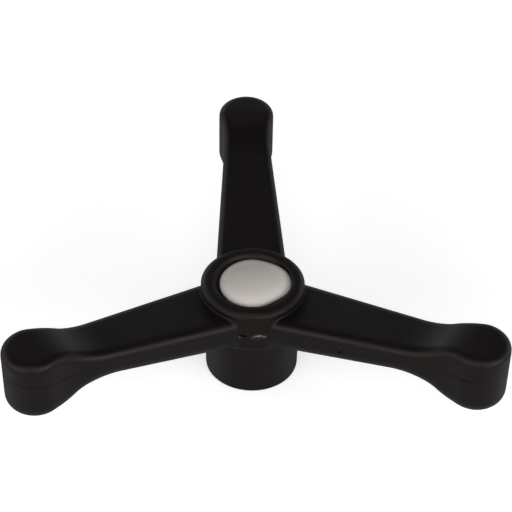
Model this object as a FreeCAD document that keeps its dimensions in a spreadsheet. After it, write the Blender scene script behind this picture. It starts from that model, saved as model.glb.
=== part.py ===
import FreeCAD, Part
import enum
import math
import os

import Sketcher

# Clamp handwheel with three arms, in millimetres and degrees.
# The hub axis is Z, the origin is the centre of the hub's bottom face, and one arm points along +Y.
# Heights are measured from the hub's bottom face, and distances along an arm from the hub axis.
SIZES = {
    # whole wheel
    "tip_radius": 80.0,
    "arm_count": 3,
    # outline of an arm, seen from above: its width at the hub axis and at the knob's centre
    "arm_root_width": 22.9,
    "arm_tip_width": 13.1,
    "neck_radius": 30.0,
    "knob_radius": 8.67,
    # side view of an arm: its top at the hub axis, and its thickness there and at the knob's centre
    "arm_top_height": 27.3,
    "arm_root_thickness": 11.5,
    "arm_tip_thickness": 9.45,
    # side view of a knob: how far its top lies above the line of the arm's top, and its height
    "knob_top_height": 41.5,
    "knob_top_step": 3.3,
    "knob_height": 21.0,
    # arcs between the arm and the knob's level faces, above and below
    "top_sweep_radius": 30.0,
    "top_crown_radius": 20.0,
    "under_sweep_radius": 22.0,
    "under_crown_radius": 16.5,
    "under_flat_lead": 2.0,
    # rounded edges of an arm
    "top_edge_radius": 2.6,
    "under_edge_radius": 4.3,
    # hub, with draft on both sides of the parting line round its collar
    "hub_radius": 13.85,
    "hub_foot_chamfer": 0.5,
    "collar_radius": 15.4,
    "collar_under_height": 18.6,
    "collar_parting_height": 24.5,
    "collar_top_height": 32.8,
    "collar_chamfer": 1.35,
    "draft": 1.0,
    # recess in the top of the hub
    "recess_radius": 11.5,
    "recess_lip": 0.25,
    "recess_depth": 3.8,
    # cover cap, and how it lies in the recess
    "cap_play": 0.9,
    "cap_near_gap": 0.1,
    "cap_edge_height": 2.5,
    "cap_edge_chamfer": 0.5,
    "cap_crown": 1.2,
    # threaded boss
    "boss_web": 4.0,
    "boss_radius": 10.0,
    "boss_collar_length": 6.0,
    "boss_flats": 17.0,
    "boss_neck_radius": 7.5,
    "boss_neck_height": 11.0,
    "boss_neck_length": 5.0,
    "tap_drill_diameter": 10.2,
    "mouth_diameter": 13.0,
    "bore_end_web": 7.0,
}

# Cuts run this far past the solid, and a joined ring this far into it
MARGIN = 5.0
LAP = 1.0

# Sizes that follow from the driving ones
DERIVED = {
    # outline of an arm
    "knob_distance": "=Sizes.tip_radius - Sizes.knob_radius",
    "flank_angle": "=90 + atan((Sizes.arm_root_width - Sizes.arm_tip_width)"
    " / (2 * Derived.knob_distance)) / (1 deg)",
    "block_height": f"=Sizes.knob_top_height + {MARGIN}",
    # side view of an arm
    "arm_top_tip_height": "=Sizes.knob_top_height - Sizes.knob_top_step",
    "arm_top_rise": "=atan((Derived.arm_top_tip_height - Sizes.arm_top_height)"
    " / Derived.knob_distance) / (1 deg)",
    "arm_under_height": "=Sizes.arm_top_height - Sizes.arm_root_thickness",
    "arm_under_rise": "=atan((Derived.arm_top_tip_height - Sizes.arm_tip_thickness"
    " - Derived.arm_under_height) / Derived.knob_distance) / (1 deg)",
    "knob_under_height": "=Sizes.knob_top_height - Sizes.knob_height",
    "top_crown_distance": "=Derived.knob_distance",
    "under_crown_distance": "=Derived.knob_distance - Sizes.under_flat_lead",
    "relief_reach": f"=Sizes.tip_radius + {MARGIN}",
    "top_relief_limit": f"=Derived.block_height + {MARGIN}",
    "under_relief_limit": f"=-{MARGIN}",
    # hub
    "lower_wall_angle": "=90 - Sizes.draft",
    "upper_wall_angle": "=90 + Sizes.draft",
    "collar_rim_radius": "=Sizes.collar_radius"
    " - (Sizes.collar_top_height - Sizes.collar_parting_height) * tan(Sizes.draft * 1 deg)",
    "recess_floor": "=Sizes.collar_top_height - Sizes.recess_depth",
    # cover cap
    "cap_radius": "=Sizes.recess_radius - Sizes.cap_play",
    "cap_shift": "=Sizes.cap_play - Sizes.cap_near_gap",
    "cap_height": "=Sizes.cap_edge_height + Sizes.cap_crown",
    # threaded boss
    "boss_length": "=Derived.recess_floor - Sizes.boss_web",
    "boss_corner_radius": "=Sizes.boss_flats / sqrt(3)",
    "boss_neck_end": "=Sizes.boss_neck_height + Sizes.boss_neck_length",
    "neck_key_radius": f"=Derived.boss_corner_radius + {LAP}",
    "bore_depth": "=Derived.boss_length - Sizes.bore_end_web",
}

DRILL_POINT_ANGLE = 118.0
MOUTH_ANGLE = 90.0

UP = FreeCAD.Vector(0, 0, 1)


class Axis(enum.IntEnum):
    """How a constraint names the level and the upright axis of its sketch."""
    H = -1
    V = -2


class At(enum.IntEnum):
    """How a constraint names a point of a line or an arc."""
    START = 1
    END = 2
    CENTRE = 3


ORIGIN = (Axis.H, At.START)


def cell(name):
    sheet = "Sizes" if name in SIZES else "Derived"
    return f"{sheet}.{name}"


def angle_cell(name):
    return f"{cell(name)} * 1 deg"


def value(doc, name):
    """Present value of a driving or a derived size."""
    sheet = doc.Sizes if name in SIZES else doc.Derived
    return float(getattr(sheet, name))


def make_sheets(doc):
    """A sheet for the driving dimensions and one for those that follow: a name and a value a row."""
    for sheet_name, table in (("Sizes", SIZES), ("Derived", DERIVED)):
        sheet = doc.addObject("Spreadsheet::Sheet", sheet_name)
        for row, (name, content) in enumerate(table.items(), start=1):
            sheet.set(f"A{row}", name)
            sheet.set(f"B{row}", str(content))
            sheet.setAlias(f"B{row}", name)
        doc.recompute()
    doc.recompute()


def origin_feature(body, role):
    return next(item for item in body.Origin.OriginFeatures if item.Role == role)


def add_sketch(body, name, plane):
    sketch = body.newObject("Sketcher::SketchObject", name)
    sketch.AttachmentSupport = [(origin_feature(body, plane), "")]
    sketch.MapMode = "FlatFace"
    return sketch


def add_line(sketch, start, end):
    first = FreeCAD.Vector(*start, 0)
    last = FreeCAD.Vector(*end, 0)
    return sketch.addGeometry(Part.LineSegment(first, last))


def add_arc(sketch, centre, start, end):
    """Arc that runs anticlockwise from start to end."""
    first = math.atan2(start[1] - centre[1], start[0] - centre[0])
    last = math.atan2(end[1] - centre[1], end[0] - centre[0])
    circle = Part.Circle(FreeCAD.Vector(*centre, 0), UP, math.dist(centre, start))
    return sketch.addGeometry(Part.ArcOfCircle(circle, first, last))


def constrain(sketch, *constraint):
    sketch.addConstraint(Sketcher.Constraint(*constraint))


def measure(sketch, size, kind, *places):
    """Adds a dimension of this kind and ties it to a size of the sheets."""
    amount = value(sketch.Document, size)
    if kind == "Angle":
        amount = math.radians(amount)
    index = sketch.addConstraint(Sketcher.Constraint(kind, *places, amount))
    expression = angle_cell(size) if kind == "Angle" else cell(size)
    sketch.setExpression(f"Constraints[{index}]", expression)


def add_outline(sketch, corners):
    """Closed outline of straight lines, level or upright where two corners are."""
    lines = []
    for start, end in zip(corners, corners[1:] + corners[:1]):
        edge = add_line(sketch, start, end)
        lines.append(edge)
        if start[1] == end[1]:
            constrain(sketch, "Horizontal", edge)
        elif start[0] == end[0]:
            constrain(sketch, "Vertical", edge)
    for edge, following in zip(lines, lines[1:] + lines[:1]):
        constrain(sketch, "Coincident", edge, At.END, following, At.START)
    return lines


def add_feature(body, kind, name, profile=None):
    feature = body.newObject(f"PartDesign::{kind}", name)
    if profile:
        feature.Profile = profile
    return feature


def add_turned(body, kind, name, profile):
    """A full turn of the profile about the upright axis: Revolution adds it, Groove cuts it."""
    feature = add_feature(body, kind, name, profile)
    feature.ReferenceAxis = (profile, ["V_Axis"])
    feature.Angle = 360
    return feature


def add_rounding(body, kind, name, base, edges, size):
    """Fillet or chamfer on edges of the feature that comes before it."""
    feature = add_feature(body, kind, name)
    feature.Base = (base, edges)
    feature.setExpression("Radius" if kind == "Fillet" else "Size", cell(size))
    return feature


def circle_edge(shape, radius, height):
    """Name of the round edge about the hub axis with this radius and height."""
    for index, edge in enumerate(shape.Edges, start=1):
        curve = edge.Curve
        if not isinstance(curve, Part.Circle):
            continue
        offset = math.hypot(curve.Center.x, curve.Center.y)
        if offset + abs(curve.Radius - radius) + abs(curve.Center.z - height) < 0.01:
            return f"Edge{index}"
    raise ValueError(f"no round edge of radius {radius} at height {height}")


def blend(base, angle, side, circle_centre, circle_radius, blend_radius):
    """Arc that touches a line and a circle: its centre and its two touching points.

    The line starts at base and runs at the given angle. The arc lies to its left if side is 1, and
    to its right if side is -1, and touches the circle from outside, before the line reaches it.
    """
    along = (math.cos(math.radians(angle)), math.sin(math.radians(angle)))
    across = (-side * along[1], side * along[0])
    start = [base[k] + blend_radius * across[k] for k in (0, 1)]
    away = [start[k] - circle_centre[k] for k in (0, 1)]
    progress = away[0] * along[0] + away[1] * along[1]
    spread = math.hypot(*away) ** 2 - (blend_radius + circle_radius) ** 2
    travel = -progress - math.sqrt(progress ** 2 - spread)
    centre = [start[k] + travel * along[k] for k in (0, 1)]
    share = circle_radius / (blend_radius + circle_radius)
    on_line = [centre[k] - blend_radius * across[k] for k in (0, 1)]
    on_circle = [circle_centre[k] + share * (centre[k] - circle_centre[k]) for k in (0, 1)]
    return centre, on_line, on_circle


def mirrored(place):
    return (-place[0], place[1])


def draw_arm_plan(doc, body):
    """Outline of an arm: two flanks taper outwards, and arcs lead from them into the round knob."""
    root = value(doc, "arm_root_width") / 2
    knob_radius = value(doc, "knob_radius")
    knob_centre = (0, value(doc, "knob_distance"))
    neck, on_flank, on_knob = blend(
        (root, 0), value(doc, "flank_angle"), -1, knob_centre, knob_radius, value(doc, "neck_radius")
    )
    sketch = add_sketch(body, "ArmPlan", "XY_Plane")
    base = add_line(sketch, (-root, 0), (root, 0))
    right_flank = add_line(sketch, (root, 0), on_flank)
    right_neck = add_arc(sketch, neck, on_knob, on_flank)
    knob = add_arc(sketch, knob_centre, on_knob, mirrored(on_knob))
    left_neck = add_arc(sketch, mirrored(neck), mirrored(on_flank), mirrored(on_knob))
    left_flank = add_line(sketch, mirrored(on_flank), (-root, 0))
    constrain(sketch, "PointOnObject", base, At.START, Axis.H)
    constrain(sketch, "Symmetric", base, At.START, base, At.END, Axis.V)
    constrain(sketch, "Coincident", base, At.END, right_flank, At.START)
    constrain(sketch, "Tangent", right_flank, At.END, right_neck, At.END)
    constrain(sketch, "Tangent", right_neck, At.START, knob, At.START)
    constrain(sketch, "Tangent", knob, At.END, left_neck, At.END)
    constrain(sketch, "Tangent", left_neck, At.START, left_flank, At.START)
    constrain(sketch, "Coincident", left_flank, At.END, base, At.START)
    constrain(sketch, "PointOnObject", knob, At.CENTRE, Axis.V)
    constrain(sketch, "Equal", right_neck, left_neck)
    constrain(sketch, "Equal", right_flank, left_flank)
    measure(sketch, "arm_root_width", "DistanceX", base, At.START, base, At.END)
    measure(sketch, "flank_angle", "Angle", right_flank)
    measure(sketch, "neck_radius", "Radius", right_neck)
    measure(sketch, "knob_radius", "Radius", knob)
    measure(sketch, "knob_distance", "DistanceY", *ORIGIN, knob, At.CENTRE)
    return sketch


def draw_arm_side(doc, body, part, up):
    """Region to take away above an arm (up is 1) or below it (up is -1), seen from the side.

    Its edge is the arm's straight line, which climbs outwards, an arc that sweeps away from it,
    and an arc that crowns over to the level face of the knob.
    """
    start = (0, value(doc, f"arm_{part}_height"))
    level = value(doc, f"knob_{part}_height")
    crown_radius = value(doc, f"{part}_crown_radius")
    crown = (value(doc, f"{part}_crown_distance"), level - up * crown_radius)
    flat_start = (crown[0], level)
    reach = value(doc, "relief_reach")
    limit = value(doc, f"{part}_relief_limit")
    sweep, on_arm, on_crown = blend(
        start, value(doc, f"arm_{part}_rise"), up,
        crown, crown_radius, value(doc, f"{part}_sweep_radius"),
    )
    sketch = add_sketch(body, f"Arm{part.title()}Side", "YZ_Plane")
    arm_line = add_line(sketch, start, on_arm)
    near, far = (At.START, At.END) if up > 0 else (At.END, At.START)
    sweep_arc = add_arc(sketch, sweep, *((on_arm, on_crown) if up > 0 else (on_crown, on_arm)))
    crown_arc = add_arc(sketch, crown, *((flat_start, on_crown) if up > 0 else (on_crown, flat_start)))
    flat = add_line(sketch, flat_start, (reach, level))
    outer = add_line(sketch, (reach, level), (reach, limit))
    edge = add_line(sketch, (reach, limit), (0, limit))
    inner = add_line(sketch, (0, limit), start)
    constrain(sketch, "PointOnObject", arm_line, At.START, Axis.V)
    constrain(sketch, "Tangent", arm_line, At.END, sweep_arc, near)
    constrain(sketch, "Tangent", sweep_arc, far, crown_arc, far)
    constrain(sketch, "Tangent", crown_arc, near, flat, At.START)
    constrain(sketch, "Horizontal", flat)
    constrain(sketch, "Coincident", flat, At.END, outer, At.START)
    constrain(sketch, "Vertical", outer)
    constrain(sketch, "Coincident", outer, At.END, edge, At.START)
    constrain(sketch, "Horizontal", edge)
    constrain(sketch, "Coincident", edge, At.END, inner, At.START)
    constrain(sketch, "Vertical", inner)
    constrain(sketch, "Coincident", inner, At.END, arm_line, At.START)
    measure(sketch, f"arm_{part}_height", "DistanceY", *ORIGIN, arm_line, At.START)
    measure(sketch, f"arm_{part}_rise", "Angle", arm_line)
    measure(sketch, f"{part}_sweep_radius", "Radius", sweep_arc)
    measure(sketch, f"{part}_crown_radius", "Radius", crown_arc)
    measure(sketch, f"{part}_crown_distance", "DistanceX", *ORIGIN, crown_arc, At.CENTRE)
    measure(sketch, f"knob_{part}_height", "DistanceY", *ORIGIN, flat, At.START)
    measure(sketch, "relief_reach", "DistanceX", *ORIGIN, flat, At.END)
    measure(sketch, f"{part}_relief_limit", "DistanceY", *ORIGIN, edge, At.START)
    return sketch


def add_arm_block(doc, body):
    """The arm's outline, drawn upright to above the knob's top."""
    block = add_feature(body, "Pad", "ArmBlock", draw_arm_plan(doc, body))
    block.setExpression("Length", cell("block_height"))


def add_relief(doc, body, part, up):
    """Takes the region above or below the arm away, across its whole width."""
    profile = draw_arm_side(doc, body, part, up)
    relief = add_feature(body, "Pocket", f"Arm{part.title()}Relief", profile)
    relief.Type = "ThroughAll"
    relief.Midplane = True


def rim_edges(shape, up):
    """Names of the edges where an arm's walls meet its top face (up is 1) or its underside (-1)."""
    names = []
    for index, edge in enumerate(shape.Edges, start=1):
        middle = edge.valueAt((edge.FirstParameter + edge.LastParameter) / 2)
        slopes = []
        for face in shape.ancestorsOfType(edge, Part.Face):
            slopes.append(face.normalAt(*face.Surface.parameter(middle)).z)
        wall = min(slopes, key=abs)
        rim = max(slopes, key=abs)
        if middle.y > MARGIN and abs(wall) < 0.1 and up * rim > 0.5:
            names.append(f"Edge{index}")
    return names


def build_arms(doc, body):
    """One arm, cut from its outline and its side view, rounded and repeated about the hub axis."""
    add_arm_block(doc, body)
    for part, up in (("top", 1), ("under", -1)):
        add_relief(doc, body, part, up)
    doc.recompute()
    for part, up in (("top", 1), ("under", -1)):
        arm = body.Tip
        edges = rim_edges(arm.Shape, up)
        add_rounding(body, "Fillet", f"Arm{part.title()}Edges", arm, edges, f"{part}_edge_radius")
        doc.recompute()
    arms = add_feature(body, "PolarPattern", "Arms")
    arms.TransformMode = "Whole shape"
    arms.Axis = (origin_feature(body, "Z_Axis"), [""])
    arms.Angle = 360
    arms.setExpression("Occurrences", cell("arm_count"))
    body.Tip = arms
    doc.recompute()


def draw_hub(doc, body):
    """Half section of the hub: a slim foot, and a collar that is widest at its parting line."""
    slope = math.tan(math.radians(value(doc, "draft")))
    radius = value(doc, "hub_radius")
    under = value(doc, "collar_under_height")
    collar = value(doc, "collar_radius")
    parting = value(doc, "collar_parting_height")
    top = value(doc, "collar_top_height")
    sketch = add_sketch(body, "HubSection", "XZ_Plane")
    corners = [
        (0, 0), (radius, 0), (radius + slope * under, under),
        (collar - slope * (parting - under), under), (collar, parting),
        (value(doc, "collar_rim_radius"), top), (0, top),
    ]
    foot, wall, step, lower, upper, face, axis = add_outline(sketch, corners)
    constrain(sketch, "Coincident", foot, At.START, *ORIGIN)
    measure(sketch, "hub_radius", "DistanceX", foot, At.START, foot, At.END)
    measure(sketch, "lower_wall_angle", "Angle", wall)
    measure(sketch, "collar_under_height", "DistanceY", *ORIGIN, step, At.START)
    measure(sketch, "lower_wall_angle", "Angle", lower)
    measure(sketch, "collar_radius", "DistanceX", *ORIGIN, upper, At.START)
    measure(sketch, "collar_parting_height", "DistanceY", *ORIGIN, upper, At.START)
    measure(sketch, "upper_wall_angle", "Angle", upper)
    measure(sketch, "collar_top_height", "DistanceY", *ORIGIN, face, At.START)
    return sketch


def build_hub(doc, body):
    """The hub, with a chamfer round its foot and round the top of the collar."""
    hub = add_turned(body, "Revolution", "Hub", draw_hub(doc, body))
    doc.recompute()
    foot_edge = circle_edge(hub.Shape, value(doc, "hub_radius"), 0)
    foot = add_rounding(body, "Chamfer", "HubFoot", hub, [foot_edge], "hub_foot_chamfer")
    doc.recompute()
    rim = circle_edge(foot.Shape, value(doc, "collar_rim_radius"), value(doc, "collar_top_height"))
    add_rounding(body, "Chamfer", "CollarEdge", foot, [rim], "collar_chamfer")
    doc.recompute()


def draw_ring(doc, body, name, inner, outer, bottom, top):
    """Half section between two radii and two heights, each the name of a size or None for zero."""
    amounts = [value(doc, size) if size else 0.0 for size in (inner, outer, bottom, top)]
    left, right, low, high = amounts
    sketch = add_sketch(body, name, "XZ_Plane")
    corners = [(left, low), (right, low), (right, high), (left, high)]
    lower, side, upper, bore = add_outline(sketch, corners)
    if inner:
        measure(sketch, inner, "DistanceX", *ORIGIN, bore, At.START)
    else:
        constrain(sketch, "PointOnObject", bore, At.START, Axis.V)
    if bottom:
        measure(sketch, bottom, "DistanceY", *ORIGIN, lower, At.START)
    else:
        constrain(sketch, "PointOnObject", lower, At.START, Axis.H)
    measure(sketch, outer, "DistanceX", *ORIGIN, side, At.START)
    measure(sketch, top, "DistanceY", *ORIGIN, upper, At.START)
    return sketch


def draw_hexagon(doc, body, name):
    """Section of the boss's bar: a regular hexagon with its corners on a guide circle."""
    radius = value(doc, "boss_corner_radius")
    turns = [k * math.pi / 3 for k in range(6)]
    corners = [(radius * math.cos(turn), radius * math.sin(turn)) for turn in turns]
    sketch = add_sketch(body, name, "XY_Plane")
    sides = []
    for start, end in zip(corners, corners[1:] + corners[:1]):
        sides.append(add_line(sketch, start, end))
    guide = sketch.addGeometry(Part.Circle(FreeCAD.Vector(), UP, radius), True)
    constrain(sketch, "Coincident", guide, At.CENTRE, *ORIGIN)
    constrain(sketch, "PointOnObject", sides[0], At.START, Axis.H)
    for side, following in zip(sides, sides[1:] + sides[:1]):
        constrain(sketch, "Coincident", side, At.END, following, At.START)
        constrain(sketch, "PointOnObject", side, At.START, guide)
    for side in sides[1:]:
        constrain(sketch, "Equal", sides[0], side)
    measure(sketch, "boss_corner_radius", "Radius", guide)
    return sketch


def build_recess(doc, body):
    """The round recess for the cover cap, with a small chamfer round its lip."""
    section = draw_ring(
        doc, body, "RecessSection", None, "recess_radius", "recess_floor", "collar_top_height"
    )
    recess = add_turned(body, "Groove", "Recess", section)
    doc.recompute()
    lip = circle_edge(recess.Shape, value(doc, "recess_radius"), value(doc, "collar_top_height"))
    add_rounding(body, "Chamfer", "RecessLip", recess, [lip], "recess_lip")


def build_boss_seat(doc, body):
    """The cavity that the moulding leaves round the threaded boss, with the key in the boss's neck."""
    bar = add_feature(body, "Pocket", "BossBarSeat", draw_hexagon(doc, body, "BossBarSeatSection"))
    bar.Reversed = True
    bar.setExpression("Length", cell("boss_length"))
    collar = draw_ring(
        doc, body, "BossCollarSeatSection", None, "boss_radius", None, "boss_collar_length"
    )
    add_turned(body, "Groove", "BossCollarSeat", collar)
    key = draw_ring(
        doc, body, "BossNeckKeySection",
        "boss_neck_radius", "neck_key_radius", "boss_neck_height", "boss_neck_end",
    )
    add_turned(body, "Revolution", "BossNeckKey", key)


def build_handwheel_body(doc):
    """The one-piece moulding: arms, hub, recess for the cap and cavity round the boss."""
    body = doc.addObject("PartDesign::Body", "handwheel_body")
    build_arms(doc, body)
    build_hub(doc, body)
    build_recess(doc, body)
    build_boss_seat(doc, body)
    return body


def build_threaded_boss(doc):
    """Steel boss: a hexagon bar with a round collar, a turned neck and a blind tapped hole."""
    body = doc.addObject("PartDesign::Body", "threaded_boss")
    bar = add_feature(body, "Pad", "BossBar", draw_hexagon(doc, body, "BossBarSection"))
    bar.setExpression("Length", cell("boss_length"))
    collar = draw_ring(doc, body, "BossCollarSection", None, "boss_radius", None, "boss_collar_length")
    add_turned(body, "Revolution", "BossCollar", collar)
    neck = draw_ring(
        doc, body, "BossNeckSection",
        "boss_neck_radius", "neck_key_radius", "boss_neck_height", "boss_neck_end",
    )
    add_turned(body, "Groove", "BossNeck", neck)
    doc.recompute()
    mouth = add_sketch(body, "BoreCentre", "XY_Plane")
    circle = mouth.addGeometry(Part.Circle(FreeCAD.Vector(), UP, value(doc, "tap_drill_diameter") / 2))
    constrain(mouth, "Coincident", circle, At.CENTRE, *ORIGIN)
    measure(mouth, "tap_drill_diameter", "Diameter", circle)
    doc.recompute()
    bore = add_feature(body, "Hole", "TappedBore", mouth)
    bore.Reversed = True
    bore.DepthType = "Dimension"
    bore.DrillPoint = "Angled"
    bore.DrillPointAngle = DRILL_POINT_ANGLE
    bore.HoleCutType = "Countersink"
    bore.HoleCutCountersinkAngle = MOUTH_ANGLE
    bore.setExpression("Diameter", cell("tap_drill_diameter"))
    bore.setExpression("Depth", cell("bore_depth"))
    bore.setExpression("HoleCutDiameter", cell("mouth_diameter"))
    return body


def draw_cap(doc, body):
    """Half section of the cap: a straight edge and a shallow dome."""
    radius = value(doc, "cap_radius")
    edge_height = value(doc, "cap_edge_height")
    height = value(doc, "cap_height")
    crown = value(doc, "cap_crown")
    dome_radius = (radius ** 2 + crown ** 2) / (2 * crown)
    sketch = add_sketch(body, "CapSection", "XZ_Plane")
    base = add_line(sketch, (0, 0), (radius, 0))
    side = add_line(sketch, (radius, 0), (radius, edge_height))
    dome = add_arc(sketch, (0, height - dome_radius), (radius, edge_height), (0, height))
    axis = add_line(sketch, (0, height), (0, 0))
    constrain(sketch, "Coincident", base, At.START, *ORIGIN)
    constrain(sketch, "Horizontal", base)
    constrain(sketch, "Coincident", base, At.END, side, At.START)
    constrain(sketch, "Vertical", side)
    constrain(sketch, "Coincident", side, At.END, dome, At.START)
    constrain(sketch, "PointOnObject", dome, At.CENTRE, Axis.V)
    constrain(sketch, "Coincident", dome, At.END, axis, At.START)
    constrain(sketch, "Vertical", axis)
    constrain(sketch, "Coincident", axis, At.END, base, At.START)
    measure(sketch, "cap_radius", "DistanceX", *ORIGIN, base, At.END)
    measure(sketch, "cap_edge_height", "DistanceY", *ORIGIN, side, At.END)
    measure(sketch, "cap_height", "DistanceY", *ORIGIN, axis, At.START)
    return sketch


def build_cover_cap(doc):
    """Domed cap that rests on the recess's floor, a little to one side of the hub axis."""
    body = doc.addObject("PartDesign::Body", "cover_cap")
    cap = add_turned(body, "Revolution", "Cap", draw_cap(doc, body))
    doc.recompute()
    edge = circle_edge(cap.Shape, value(doc, "cap_radius"), value(doc, "cap_edge_height"))
    add_rounding(body, "Chamfer", "CapEdge", cap, [edge], "cap_edge_chamfer")
    body.setExpression("Placement.Base.x", cell("cap_shift"))
    body.setExpression("Placement.Base.z", cell("recess_floor"))
    return body


def check_features(doc):
    """Stops on a failed object, and on a cut that takes nothing away."""
    for item in doc.Objects:
        if {"Invalid", "Error"} & set(item.State):
            raise RuntimeError(f"{item.Name} failed: {item.getStatusString()}")
    for item in doc.Objects:
        if item.TypeId in ("PartDesign::Pocket", "PartDesign::Groove", "PartDesign::Hole"):
            if item.Shape.Volume >= item.BaseFeature.Shape.Volume:
                raise RuntimeError(f"{item.Name} cuts nothing")


def write_parts(bodies):
    os.makedirs("parts", exist_ok=True)
    for body in bodies:
        shape = body.Shape
        if shape.isNull() or not shape.isValid() or len(shape.Solids) != 1:
            raise RuntimeError(f"{body.Label} isn't one valid solid")
        shape.exportStep(f"parts/{body.Label}.step")
        print(f"{body.Label}: {shape.Volume:.1f} cubic mm")


def main():
    doc = FreeCAD.newDocument("ClampHandwheel")
    make_sheets(doc)
    bodies = [build_handwheel_body(doc), build_threaded_boss(doc), build_cover_cap(doc)]
    doc.recompute()
    check_features(doc)
    write_parts(bodies)


main()
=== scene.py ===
import math

import bmesh
import bpy
from mathutils import Matrix, Vector, noise
from mathutils.bvhtree import BVHTree


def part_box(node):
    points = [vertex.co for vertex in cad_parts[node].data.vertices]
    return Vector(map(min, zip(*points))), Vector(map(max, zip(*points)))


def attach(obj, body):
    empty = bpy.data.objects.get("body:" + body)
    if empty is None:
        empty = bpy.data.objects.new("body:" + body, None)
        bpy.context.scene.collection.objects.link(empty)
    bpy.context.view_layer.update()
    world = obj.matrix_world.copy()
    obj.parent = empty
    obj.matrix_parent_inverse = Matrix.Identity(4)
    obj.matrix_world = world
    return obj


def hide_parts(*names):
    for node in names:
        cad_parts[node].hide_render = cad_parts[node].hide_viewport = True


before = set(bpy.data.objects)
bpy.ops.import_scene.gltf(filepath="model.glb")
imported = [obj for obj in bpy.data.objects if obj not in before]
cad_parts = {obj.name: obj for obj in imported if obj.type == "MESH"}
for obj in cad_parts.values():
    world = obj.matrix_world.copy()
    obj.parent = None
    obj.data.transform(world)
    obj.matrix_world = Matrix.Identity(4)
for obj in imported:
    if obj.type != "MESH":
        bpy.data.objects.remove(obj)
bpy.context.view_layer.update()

# Camera: where it looks from, in degrees, the point it looks at and its distances, in metres
AZIMUTH = -2.572
ELEVATION = 41.52
ROLL = 1.12
TARGET = Vector((0.000785, 0.0, 0.042025))
DISTANCE = 0.51
NEAREST = 0.01
FARTHEST = 50.0
LENS_MM = 123.9
SENSOR_MM = 36.0
# Width and height of the photograph, in pixels
PHOTO_SIZE = 512

FLOOR_SIZE = 8.0
FLOOR_COLOUR = (0.8, 0.8, 0.8)
FLOOR_GLOW = 0.5
WORLD_STRENGTH = 0.09

# Soft panels round the object: azimuth, elevation, width and height in metres, and strength.
# Azimuth 0 is the camera's side, and -90 is the object's left. The band is strongest at the front.
PANELS = [
    (-45, 15, 1.30, 0.80, 3.6),
    (43, 13, 1.30, 0.75, 4.9),
    (0, 24, 0.60, 0.55, 2.4),
    (-5, 50, 0.90, 0.45, 2.2),
    (-98, 17, 1.00, 0.75, 1.7),
    (98, 13, 1.00, 0.65, 1.6),
    (-145, 14, 1.00, 0.65, 1.0),
    (145, 10, 1.00, 0.50, 0.9),
    (180, 12, 0.60, 0.60, 0.8),
    (180, 64, 0.80, 0.45, 0.6),
]
PANEL_DISTANCE = 1.3

# The colours, in linear light. A pair holds the darkest and the palest of a mottled surface.
PLASTIC_COLOURS = ((0.0022, 0.0018, 0.0017), (0.0034, 0.0028, 0.0026))
DUST_COLOUR = (0.030, 0.028, 0.026)
# Painted shade of the parting line's groove and of the arm's nick
GROOVE_SHADE_COLOUR = (0.0006, 0.0005, 0.0005)
TORN_COLOURS = ((0.002, 0.0017, 0.0016), (0.007, 0.0062, 0.0057))
WHITENED_AND_HIGHLIGHT_COLOUR = (0.20, 0.19, 0.175)
# Painted shade of the short gap beside the gate
NICK_SHADE_COLOURS = ((0.0002, 0.0002, 0.0002), (0.0008, 0.0007, 0.0007))
# The cap's two pairs are a shaded and a lit copy of one plastic: painted shade at its rear, painted
# light towards its front and edge
CAP_PAINTED_SHADE_COLOURS = ((0.40, 0.372, 0.345), (0.44, 0.409, 0.381))
CAP_PAINTED_LIGHT_COLOURS = ((0.74, 0.69, 0.645), (0.79, 0.74, 0.69))
STEEL_COLOURS = ((0.50, 0.49, 0.47), (0.62, 0.61, 0.59))
WARM_SHINE = (1.0, 0.87, 0.84)

# The rest is in the part's own frame, in metres
MM = 0.001
ACROSS = (1, 0, 0)
BACK = (0, 1, 0)
UP = (0, 0, 1)
ARM_TURNS = [math.radians(turn) for turn in (90, 210, 330)]
ARM_DIRECTIONS = [(math.cos(turn), math.sin(turn), 0.0) for turn in ARM_TURNS]

# Mould parting line, painted shade of a groove: its height at the hub axis, how it climbs along an
# arm, how far it wanders, its width with the share of it that is fully dark, and the stretch of an arm
# where it fades in
PARTING_HEIGHT = 23.4 * MM
PARTING_CLIMB = math.tan(math.radians(7.9))
PARTING_WOBBLE = 0.12 * MM
PARTING_HALF_WIDTH = 0.17 * MM
PARTING_CORE = 0.35
PARTING_FADES_IN = (55 * MM, 62 * MM)
# The right arm lies beyond this x. The line shows there in a short stretch, given by two pairs of
# x, and faintly round one place further on.
RIGHT_SIDE = (10 * MM, 12 * MM)
RIGHT_LINE_STARTS = (52.6 * MM, 53.4 * MM)
RIGHT_LINE_ENDS = (58.5 * MM, 62.0 * MM)
RIGHT_LINE_REST = 66.6 * MM
RIGHT_LINE_REST_FADES = (0.5 * MM, 1.1 * MM)

# Nick on the front of the right arm, painted shade: the photograph's pixels that show it, each with a
# radius, and the share of that radius that is fully dark
ARM_NICK = [((339.0, 352.2), 0.60 * MM), ((341.0, 351.8), 0.40 * MM)]
ARM_NICK_CORE = 0.3

# Depth of the line and the nick, and height of the plastic's grain
GROOVE_DEPTH = 0.06 * MM
GRAIN_HEIGHT = 0.04 * MM

# Moulded edges blend into their faces over this distance
EDGE_SOFTNESS = 1.6 * MM

# Cap: the height at which its straight side ends, as a share of its height, and its rounding
CAP_SIDE = 0.60
CAP_FLATNESS = 2.7
CAP_BEVEL = 0.15 * MM
CAP_SEGMENTS = 192
CAP_STEPS = 28
# Where the cap's edge is a little flattened: middle and half span in degrees, and depth as a share
CAP_FLATS = [(-55, 52, 0.13), (64, 44, 0.055)]
# Painted light: the cap is paler between these two distances from the hub axis, and between these two
# places along the way to its front
CAP_EDGE_PAINTED_LIGHT = (6 * MM, 10 * MM)
CAP_FRONT_WAY = (0.3, -0.954, 0)
CAP_FRONT_PAINTED_LIGHT = (-6 * MM, 9 * MM)

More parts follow.
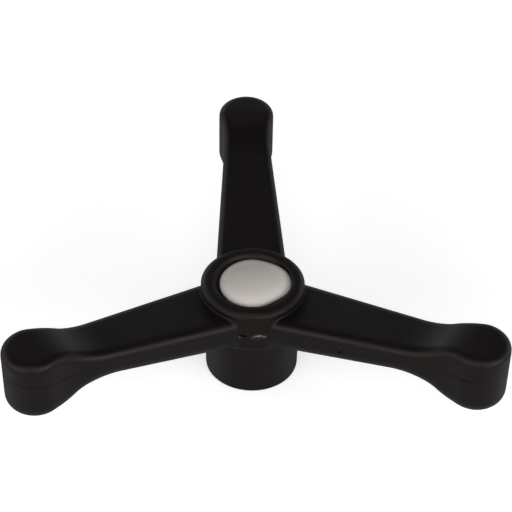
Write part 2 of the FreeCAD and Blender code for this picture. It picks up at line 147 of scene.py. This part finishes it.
# Sloping foot of the recess wall, round the cap: how it reaches into the wall and clears the cap
RECESS_RADIUS = 11.5 * MM
SEAT_TOP = 32.4 * MM
SEAT_FOOT = 31.0 * MM
SEAT_INTO_WALL = 0.05 * MM
SEAT_CLEARANCE = 0.02 * MM
SEAT_STEPS = 12

# Thread of the boss
THREAD_PITCH = 1.75 * MM
THREAD_MINOR = 5.1 * MM
THREAD_MAJOR = 6.0 * MM
THREAD_END = 16.2 * MM
MOUTH_RADIUS = 6.5 * MM
MOUTH_MARGIN = 0.02 * MM
BORE_END = 18.0 * MM
DRILL_POINT_SLOPE = math.tan(math.radians(31))
THREAD_SEGMENTS = 96
THREAD_STEPS_PER_TURN = 14
# In half pitches from the middle of a groove: where its flank meets the crest, and the flank's length
CREST_START = 0.75
FLANK_LENGTH = 0.625

# Marks on the front of the collar: the gate's scar, and the nick beside it with its burr. Each has
# its centre and half size, across and up, how far it stands out, and its grid.
COLLAR_RADIUS = 15.4 * MM
GATE_CENTRE = (1.25 * MM, 24.1 * MM)
GATE_HALF_SIZE = (2.6 * MM, 1.05 * MM)
GATE_STAND = 0.32 * MM
GATE_GRID = (40, 20)
BURR_CENTRE = (-4.25 * MM, 23.7 * MM)
BURR_HALF_SIZE = (0.48 * MM, 0.28 * MM)
BURR_STAND = 0.2 * MM
BURR_GRID = (24, 16)
# The nick is a thin mound painted as shade, standing for a short gap
NICK_CENTRE = (-3.05 * MM, 24.5 * MM)
NICK_HALF_SIZE = (1.0 * MM, 0.32 * MM)
NICK_STAND = 0.1 * MM
NICK_GRID = (24, 10)
# Their outline is ragged and their surface pitted: by what share, and over what distance
RAGGED_SHARE = 0.35
RAGGED_SCALE = 0.9 * MM
PITTED_SHARE = 0.45
PITTED_SCALE = 0.35 * MM
PITTED_LAYER = 5 * MM
# They rise steeply from a rounded oval, and start a little below the collar's surface
MARK_STEEPNESS = 2.5
MARK_OVAL = 1.6
MARK_SINK = 0.05 * MM
# The pale edge of torn plastic, whitened flecks with a painted highlight, is an arch: its top and its
# drop, as shares of the half height, and the distances over which it fades
ARCH_TOP = 0.7
ARCH_DROP = 1.1
ARCH_FADES = (0.10 * MM, 0.45 * MM)

# Vertices closer than this are joined
WELD_DISTANCE = 1e-7


def direction(azimuth, elevation):
    """Unit vector from the object towards a place given by azimuth and elevation."""
    turn = math.radians(azimuth)
    rise = math.radians(elevation)
    level = math.cos(rise)
    return Vector((math.sin(turn) * level, -math.cos(turn) * level, math.sin(rise)))


def add_object(name, data):
    item = bpy.data.objects.new(name, data)
    bpy.context.scene.collection.objects.link(item)
    return item


def camera_place():
    back = direction(AZIMUTH, ELEVATION)
    tilt = back.to_track_quat("Z", "Y").to_matrix().to_4x4()
    roll = Matrix.Rotation(math.radians(ROLL), 4, "Z")
    return Matrix.Translation(TARGET + DISTANCE * back) @ tilt @ roll


def make_camera():
    camera = add_object("camera", bpy.data.cameras.new("camera"))
    camera.data.sensor_width = SENSOR_MM
    camera.data.lens = LENS_MM
    camera.data.clip_start = NEAREST
    camera.data.clip_end = FARTHEST
    camera.matrix_world = camera_place()
    bpy.context.scene.camera = camera


def places_seen(pixels):
    """The places on the moulding that the photograph shows at these pixels."""
    bm = bmesh.new()
    bm.from_mesh(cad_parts["handwheel_body"].data)
    surface = BVHTree.FromBMesh(bm)
    bm.free()
    camera = camera_place()
    depth = PHOTO_SIZE * LENS_MM / SENSOR_MM
    places = []
    for across, down in pixels:
        way = Vector((across - PHOTO_SIZE / 2, PHOTO_SIZE / 2 - down, -depth))
        hit = surface.ray_cast(camera.translation, (camera.to_3x3() @ way).normalized())
        places.append(hit[0])
    return places


def add_panel(azimuth, elevation, width, height, strength):
    """A soft light that faces the object. Strength is its radiance."""
    data = bpy.data.lights.new("panel", "AREA")
    data.shape = "RECTANGLE"
    data.size = width
    data.size_y = height
    data.energy = strength * math.pi * width * height
    back = direction(azimuth, elevation)
    panel = add_object("panel", data)
    tilt = back.to_track_quat("Z", "Y").to_matrix().to_4x4()
    panel.matrix_world = Matrix.Translation(PANEL_DISTANCE * back) @ tilt


class Shading:
    """A material with short calls to add its nodes and join them."""

    def __init__(self, name):
        self.material = bpy.data.materials.new(name)
        self.material.use_nodes = True
        self.tree = self.material.node_tree
        self.tree.nodes.clear()
        self.output = self.add("ShaderNodeOutputMaterial")
        self.shader = self.add("ShaderNodeBsdfPrincipled")
        self.join(self.shader.outputs["BSDF"], self.output.inputs["Surface"])

    def add(self, kind, **settings):
        node = self.tree.nodes.new(kind)
        for name, setting in settings.items():
            setattr(node, name, setting)
        return node

    def join(self, source, target):
        self.tree.links.new(source, target)

    def feed(self, source, target):
        """Joins a socket, or sets a number."""
        if isinstance(source, bpy.types.NodeSocket):
            self.join(source, target)
        else:
            target.default_value = source

    def place(self):
        """Object coordinates, which are metres in the part's own frame."""
        return self.add("ShaderNodeTexCoord").outputs["Object"]

    def calc(self, operation, *terms):
        node = self.add("ShaderNodeMath", operation=operation)
        for term, socket in zip(terms, node.inputs):
            self.feed(term, socket)
        return node.outputs["Value"]

    def along(self, way):
        """Distance from the origin along a direction."""
        node = self.add("ShaderNodeVectorMath", operation="DOT_PRODUCT")
        self.join(self.place(), node.inputs[0])
        node.inputs[1].default_value = way
        return node.outputs["Value"]

    def facing(self):
        """From 0, where the surface is seen head on, to 1 at its rim."""
        return self.add("ShaderNodeLayerWeight").outputs["Facing"]

    def softened(self, radius):
        """The surface's direction, evened out over this distance."""
        node = self.add("ShaderNodeBevel", samples=8)
        node.inputs["Radius"].default_value = radius
        return node.outputs["Normal"]

    def noise(self, scale, detail, roughness=0.5):
        node = self.add("ShaderNodeTexNoise")
        node.inputs["Scale"].default_value = scale
        node.inputs["Detail"].default_value = detail
        node.inputs["Roughness"].default_value = roughness
        self.join(self.place(), node.inputs["Vector"])
        return node.outputs["Fac"]

    def spread(self, source, low, high, start=0.3, end=0.7):
        """Maps a value between start and end to one between low and high."""
        node = self.add("ShaderNodeMapRange")
        node.inputs["From Min"].default_value = start
        node.inputs["From Max"].default_value = end
        node.inputs["To Min"].default_value = low
        node.inputs["To Max"].default_value = high
        self.join(source, node.inputs["Value"])
        return node.outputs["Result"]

    def mix(self, share, first, second):
        """Blends two colours, each a colour or a socket."""
        node = self.add("ShaderNodeMix", data_type="RGBA")
        for socket, colour in ((node.inputs["A"], first), (node.inputs["B"], second)):
            if isinstance(colour, tuple):
                socket.default_value = (*colour, 1.0)
            else:
                self.join(colour, socket)
        self.join(share, node.inputs["Factor"])
        return node.outputs["Result"]

    def bump(self, height, distance, strength, below=None):
        node = self.add("ShaderNodeBump")
        node.inputs["Distance"].default_value = distance
        node.inputs["Strength"].default_value = strength
        self.join(height, node.inputs["Height"])
        if below:
            self.join(below, node.inputs["Normal"])
        return node.outputs["Normal"]

    def set(self, **values):
        """Sets the shader's inputs, by names with _ for each space."""
        for name, value in values.items():
            socket = self.shader.inputs[name.replace("_", " ")]
            if isinstance(value, tuple):
                socket.default_value = (*value, 1.0)
            else:
                self.feed(value, socket)


def right_stretch(shading):
    """1 on the left and rear arms. On the right one, a short stretch and a faint rest further on."""
    x = shading.along(ACROSS)
    others = shading.spread(x, 1.0, 0.0, *RIGHT_SIDE)
    start = shading.spread(x, 0.0, 1.0, *RIGHT_LINE_STARTS)
    end = shading.spread(x, 1.0, 0.0, *RIGHT_LINE_ENDS)
    stretch = shading.calc("MULTIPLY", shading.calc("MAXIMUM", others, start), end)
    gap = shading.calc("ABSOLUTE", shading.calc("SUBTRACT", x, RIGHT_LINE_REST))
    return shading.calc("MAXIMUM", stretch, shading.spread(gap, 0.5, 0.0, *RIGHT_LINE_REST_FADES))


def parting_line_shade(shading):
    """Mask of the painted shade along the hairline where the mould halves met, worn away in places."""
    reach = shading.along(ARM_DIRECTIONS[0])
    for way in ARM_DIRECTIONS[1:]:
        reach = shading.calc("MAXIMUM", reach, shading.along(way))
    line_height = shading.calc("MULTIPLY_ADD", reach, PARTING_CLIMB, PARTING_HEIGHT)
    wander = shading.noise(scale=500.0, detail=1.0)
    wobble = shading.spread(wander, -PARTING_WOBBLE, PARTING_WOBBLE)
    level = shading.calc("SUBTRACT", shading.along(UP), line_height)
    gap = shading.calc("ABSOLUTE", shading.calc("ADD", level, wobble))
    line = shading.spread(gap, 1.0, 0.0, PARTING_CORE * PARTING_HALF_WIDTH, PARTING_HALF_WIDTH)
    wear = shading.noise(scale=45.0, detail=1.0)
    worn = shading.spread(wear, 0.15, 1.0, start=0.40, end=0.52)
    outer = shading.spread(reach, 0.0, 1.0, *PARTING_FADES_IN)
    shown = shading.calc("MULTIPLY", outer, right_stretch(shading))
    return shading.calc("MULTIPLY", line, shading.calc("MULTIPLY", worn, shown))


def arm_nick_shade(shading):
    """Mask of the round marks of painted shade that make up the nick."""
    places = places_seen([pixel for pixel, radius in ARM_NICK])
    mask = 0.0
    for place, (pixel, radius) in zip(places, ARM_NICK):
        node = shading.add("ShaderNodeVectorMath", operation="DISTANCE")
        shading.join(shading.place(), node.inputs[0])
        node.inputs[1].default_value = place
        mark = shading.spread(node.outputs["Value"], 1.0, 0.0, ARM_NICK_CORE * radius, radius)
        mask = shading.calc("MAXIMUM", mask, mark)
    return mask


def black_plastic():
    """Moulded plastic with a fine grain.

    It is plastic all over. Its parting line and nick are written as black metal to take the shine
    out of them, because the exported model keeps a masked metallic, but no masked specular level.
    """
    shading = Shading("black_plastic")
    patches = shading.noise(scale=60.0, detail=3.0)
    grain = shading.noise(scale=2600.0, detail=2.0)
    specks = shading.noise(scale=1500.0, detail=1.0)
    dust = shading.spread(specks, 0.0, 1.0, start=0.77, end=0.80)
    # The parting line and the nick are painted shade: near-black and without shine, where a groove and
    # a dent lie in shadow
    dark = shading.calc("MAXIMUM", parting_line_shade(shading), arm_nick_shade(shading))
    plain = shading.mix(patches, *PLASTIC_COLOURS)
    dusty = shading.mix(dust, plain, DUST_COLOUR)
    grazing = shading.spread(shading.facing(), 0.0, 0.25, start=0.55, end=0.95)
    rough = shading.calc("ADD", shading.spread(patches, 0.37, 0.47), grazing)
    grained = shading.bump(grain, GRAIN_HEIGHT, 0.35, shading.softened(EDGE_SOFTNESS))
    shading.set(
        Base_Color=shading.mix(dark, dusty, GROOVE_SHADE_COLOUR),
        Metallic=dark,
        Roughness=shading.calc("ADD", rough, shading.calc("MULTIPLY", dark, 0.4)),
        Specular_IOR_Level=0.16,
        Specular_Tint=WARM_SHINE,
        Normal=shading.bump(dark, -GROOVE_DEPTH, 1.0, grained),
    )
    return shading.material


def torn_plastic(centre, half_size):
    """Plastic along the arched upper edge of a torn place, whitened in flecks and with a painted
    highlight.
    """
    shading = Shading("torn_plastic")
    crumbs = shading.noise(scale=1800.0, detail=3.0, roughness=0.65)
    x = shading.calc("SUBTRACT", shading.along(ACROSS), centre[0])
    share = shading.calc("DIVIDE", x, half_size[0])
    squared = shading.calc("MULTIPLY", share, share)
    top = centre[1] + ARCH_TOP * half_size[1]
    arch = shading.calc("MULTIPLY_ADD", squared, -ARCH_DROP * half_size[1], top)
    gap = shading.calc("ABSOLUTE", shading.calc("SUBTRACT", shading.along(UP), arch))
    edge = shading.spread(gap, 1.0, 0.0, *ARCH_FADES)
    left_fade = shading.spread(share, 0.1, 1.0, start=-0.65, end=-0.15)
    right_fade = shading.spread(share, 1.0, 0.3, start=0.25, end=0.85)
    flecks = shading.spread(crumbs, 0.1, 1.0, start=0.42, end=0.58)
    amount = shading.calc("MULTIPLY", left_fade, right_fade)
    # Painted highlight along the upper edge, with whitened flecks
    white = shading.calc("MULTIPLY", edge, shading.calc("MULTIPLY", amount, flecks))
    dull = shading.mix(crumbs, *TORN_COLOURS)
    shading.set(
        Base_Color=shading.mix(white, dull, WHITENED_AND_HIGHLIGHT_COLOUR),
        Roughness=0.6,
        Specular_IOR_Level=0.2,
        Specular_Tint=WARM_SHINE,
        Normal=shading.bump(crumbs, 0.12 * MM, 0.8),
    )
    return shading.material


def painted_shade_nick():
    """Painted shade of a short gap the mould left: near-black plastic with almost no shine."""
    shading = Shading("painted_shade_nick")
    shade = shading.noise(scale=2500.0, detail=2.0)
    shading.set(
        Base_Color=shading.mix(shade, *NICK_SHADE_COLOURS),
        Roughness=0.9,
        Specular_IOR_Level=0.02,
    )
    return shading.material


def cap_plastic():
    """Pale satin plastic with painted light: paler towards its front and its edge, darker at its rear.
    """
    shading = Shading("cap_plastic")
    patches = shading.noise(scale=220.0, detail=2.0)
    scuffs = shading.noise(scale=1300.0, detail=3.0, roughness=0.6)
    x = shading.along(ACROSS)
    y = shading.along(BACK)
    squared = shading.calc("MULTIPLY_ADD", x, x, shading.calc("MULTIPLY", y, y))
    # Painted light: paler towards the edge and the front
    edge = shading.spread(squared, 0.0, 0.3, *(reach ** 2 for reach in CAP_EDGE_PAINTED_LIGHT))
    front = shading.spread(shading.along(CAP_FRONT_WAY), 0.0, 0.75, *CAP_FRONT_PAINTED_LIGHT)
    share = shading.calc("ADD", front, edge)
    rear = shading.mix(patches, *CAP_PAINTED_SHADE_COLOURS)
    paler = shading.mix(patches, *CAP_PAINTED_LIGHT_COLOURS)
    shading.set(
        Base_Color=shading.mix(share, rear, paler),
        Roughness=shading.spread(patches, 0.30, 0.38),
        IOR=1.55,
        Normal=shading.bump(scuffs, 0.01 * MM, 0.2),
    )
    return shading.material


def boss_steel():
    """Turned steel with fine streaks."""
    shading = Shading("boss_steel")
    streaks = shading.noise(scale=900.0, detail=3.0)
    shading.set(
        Base_Color=shading.mix(streaks, *STEEL_COLOURS),
        Metallic=1.0,
        Roughness=shading.spread(streaks, 0.25, 0.4),
        Normal=shading.bump(streaks, 0.01 * MM, 0.3),
    )
    return shading.material


def white_floor():
    """Matt white for the light that bounces from it. Only the camera sees it glow to full white."""
    shading = Shading("white_floor")
    shading.set(Base_Color=FLOOR_COLOUR, Roughness=1.0, Specular_IOR_Level=0.0)
    path = shading.add("ShaderNodeLightPath")
    glow = shading.add("ShaderNodeEmission")
    glow.inputs["Strength"].default_value = FLOOR_GLOW
    total = shading.add("ShaderNodeAddShader")
    choice = shading.add("ShaderNodeMixShader")
    shading.join(shading.shader.outputs["BSDF"], total.inputs[0])
    shading.join(glow.outputs["Emission"], total.inputs[1])
    shading.join(path.outputs["Is Camera Ray"], choice.inputs["Fac"])
    shading.join(shading.shader.outputs["BSDF"], choice.inputs[1])
    shading.join(total.outputs["Shader"], choice.inputs[2])
    shading.join(choice.outputs["Shader"], shading.output.inputs["Surface"])
    return shading.material


def make_floor():
    half = FLOOR_SIZE / 2
    mesh = bpy.data.meshes.new("floor")
    points = [(-half, -half, 0), (half, -half, 0), (half, half, 0), (-half, half, 0)]
    mesh.from_pydata(points, [], [(0, 1, 2, 3)])
    mesh.materials.append(white_floor())
    add_object("floor", mesh)


def make_world():
    world = bpy.data.worlds.new("world")
    world.use_nodes = True
    background = world.node_tree.nodes["Background"]
    background.inputs["Color"].default_value = (1.0, 1.0, 1.0, 1.0)
    background.inputs["Strength"].default_value = WORLD_STRENGTH
    bpy.context.scene.world = world


def dress(node, material):
    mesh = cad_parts[node].data
    mesh.materials.clear()
    mesh.materials.append(material)


def add_piece(name, bm, material, crease):
    """Turns the built mesh into a smooth piece of the part. Edges past the crease angle stay sharp."""
    bmesh.ops.remove_doubles(bm, verts=bm.verts, dist=WELD_DISTANCE)
    mesh = bpy.data.meshes.new(name)
    bm.to_mesh(mesh)
    bm.free()
    mesh.materials.append(material)
    mesh.shade_smooth()
    mesh.set_sharp_from_angle(angle=math.radians(crease))
    piece = add_object(name, mesh)
    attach(piece, "root")
    return piece


def join_rows(bm, rows, closed):
    """Four-sided faces between neighbouring rows of vertices. A closed row also joins its two ends."""
    for row, following in zip(rows, rows[1:]):
        count = len(row) if closed else len(row) - 1
        for k in range(count):
            after = (k + 1) % len(row)
            bm.faces.new((row[k], row[after], following[after], following[k]))


def add_rings(bm, levels, count, centre=(0.0, 0.0), outline=None):
    """Level rings, from (radius, height) pairs. A radius may be a function of the turn.

    An outline is a function of the turn too, and scales every radius.
    """
    rows = []
    for radius, height in levels:
        row = []
        for step in range(count):
            turn = math.tau * step / count
            reach = radius(turn) if callable(radius) else radius
            if outline:
                reach *= outline(turn)
            x = centre[0] + reach * math.cos(turn)
            y = centre[1] + reach * math.sin(turn)
            row.append(bm.verts.new((x, y, height)))
        rows.append(row)
    join_rows(bm, rows, closed=True)


def cap_outline(turn):
    """The cap's radius at a turn, as a share of its full radius."""
    share = 1.0
    for middle, span, depth in CAP_FLATS:
        away = abs((math.degrees(turn) - middle + 180) % 360 - 180) / span
        share -= depth * math.cos(math.pi / 2 * min(1.0, away)) ** 2
    return share


def cap_profile(radius, bottom, top):
    """Side and dome of the cap, from its underside to its middle. The dome rounds over at its edge."""
    shoulder = bottom + CAP_SIDE * (top - bottom)
    levels = [(0.0, bottom), (radius - CAP_BEVEL, bottom), (radius, bottom + CAP_BEVEL)]
    for step in range(CAP_STEPS + 1):
        share = math.cos(math.pi / 2 * step / CAP_STEPS)
        rise = math.sqrt(1 - share ** CAP_FLATNESS)
        levels.append((radius * share, shoulder + rise * (top - shoulder)))
    return levels


def cap_circle():
    """Middle of the cap and its radius."""
    low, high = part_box("cover_cap")
    return ((low[0] + high[0]) / 2, (low[1] + high[1]) / 2), (high[0] - low[0]) / 2


def make_cap():
    centre, radius = cap_circle()
    low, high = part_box("cover_cap")
    bm = bmesh.new()
    add_rings(bm, cap_profile(radius, low[2], high[2]), CAP_SEGMENTS, centre, cap_outline)
    cap = add_piece("domed_cap", bm, cap_plastic(), crease=50)
    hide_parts("cover_cap")


def make_seat(material):
    """The recess wall's sloping foot: steep under the lip, and level beside the cap."""
    centre, radius = cap_circle()
    bm = bmesh.new()
    rows = []
    for step in range(SEAT_STEPS + 1):
        share = step / SEAT_STEPS
        height = SEAT_FOOT + (SEAT_TOP - SEAT_FOOT) * (1 - share) ** 2
        row = []
        for k in range(CAP_SEGMENTS):
            turn = math.tau * k / CAP_SEGMENTS
            way = Vector((math.cos(turn), math.sin(turn), 0))
            wall = (RECESS_RADIUS + SEAT_INTO_WALL) * way
            side = Vector((*centre, 0)) + (radius * cap_outline(turn) + SEAT_CLEARANCE) * way
            row.append(bm.verts.new(wall.lerp(side, share) + Vector((0, 0, height))))
        rows.append(row)
    join_rows(bm, rows, closed=True)
    add_piece("recess_foot", bm, material, crease=60)


def thread_radius(height):
    """Radius of the tapped wall at a height, as a function of the turn about the hub axis."""
    countersink = MOUTH_RADIUS - height
    fade = min(1.0, max(0.0, (THREAD_END - height) / THREAD_PITCH))

    def radius(turn):
        phase = (height / THREAD_PITCH - turn / math.tau) % 1.0
        ridge = abs(2 * phase - 1)
        groove = min(1.0, max(0.0, (CREST_START - ridge) / FLANK_LENGTH))
        return max(countersink, THREAD_MINOR + fade * groove * (THREAD_MAJOR - THREAD_MINOR))

    return radius


def keep_outside(bm):
    """Takes away the faces of the plain bore, and keeps the boss's outer ones."""
    reach = MOUTH_RADIUS + MOUTH_MARGIN
    inner = []
    for face in bm.faces:
        if all(math.hypot(vertex.co.x, vertex.co.y) < reach for vertex in face.verts):
            inner.append(face)
    bmesh.ops.delete(bm, geom=inner, context="FACES")


def make_boss():
    """The boss with its thread cut: the CAD's outer faces and a tapped wall with a drill point."""
    bm = bmesh.new()
    bm.from_mesh(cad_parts["threaded_boss"].data)
    keep_outside(bm)
    tip = BORE_END + THREAD_MINOR * DRILL_POINT_SLOPE
    levels = [(0.0, tip), (THREAD_MINOR, BORE_END)]
    step = THREAD_PITCH / THREAD_STEPS_PER_TURN
    for k in range(int(BORE_END / step) - 1, -1, -1):
        levels.append((thread_radius(k * step), k * step))
    add_rings(bm, levels, THREAD_SEGMENTS)
    boss = add_piece("tapped_boss", bm, boss_steel(), crease=40)
    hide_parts("threaded_boss")


def collar_point(across, height, stand):
    """A place on the front of the collar, or that far out from it."""
    reach = COLLAR_RADIUS + stand
    turn = across / COLLAR_RADIUS
    return (reach * math.sin(turn), -reach * math.cos(turn), height)


def add_mark(name, centre, half_size, stand, grid, material):
    """A small rough mound on the front of the collar, with a ragged oval outline."""
    columns, rows = grid
    bm = bmesh.new()
    lines = []
    for row in range(rows + 1):
        line = []
        v = 2 * row / rows - 1
        for column in range(columns + 1):
            u = 2 * column / columns - 1
            across = centre[0] + u * half_size[0]
            height = centre[1] + v * half_size[1]
            ragged = RAGGED_SHARE * noise.noise(Vector((across, height, 0)) / RAGGED_SCALE)
            inside = max(0.0, 1 - (u * u + v * v) ** MARK_OVAL + ragged * (1 - abs(u)))
            pits = noise.noise(Vector((across, height, PITTED_LAYER)) / PITTED_SCALE)
            rise = min(1.0, MARK_STEEPNESS * inside) * (1 + PITTED_SHARE * pits)
            line.append(bm.verts.new(collar_point(across, height, stand * rise - MARK_SINK)))
        lines.append(line)
    join_rows(bm, lines, closed=False)
    add_piece(name, bm, material, crease=60)


def make_marks():
    scar = torn_plastic(GATE_CENTRE, GATE_HALF_SIZE)
    burr = torn_plastic(BURR_CENTRE, BURR_HALF_SIZE)
    add_mark("gate_mark", GATE_CENTRE, GATE_HALF_SIZE, GATE_STAND, GATE_GRID, scar)
    add_mark("gate_burr", BURR_CENTRE, BURR_HALF_SIZE, BURR_STAND, BURR_GRID, burr)
    add_mark("gate_nick", NICK_CENTRE, NICK_HALF_SIZE, NICK_STAND, NICK_GRID, painted_shade_nick())


make_camera()
for panel in PANELS:
    add_panel(*panel)
make_floor()
make_world()
moulding = black_plastic()
dress("handwheel_body", moulding)
make_boss()
make_cap()
make_seat(moulding)
make_marks()

bpy.context.scene.view_settings.view_transform = "Standard"
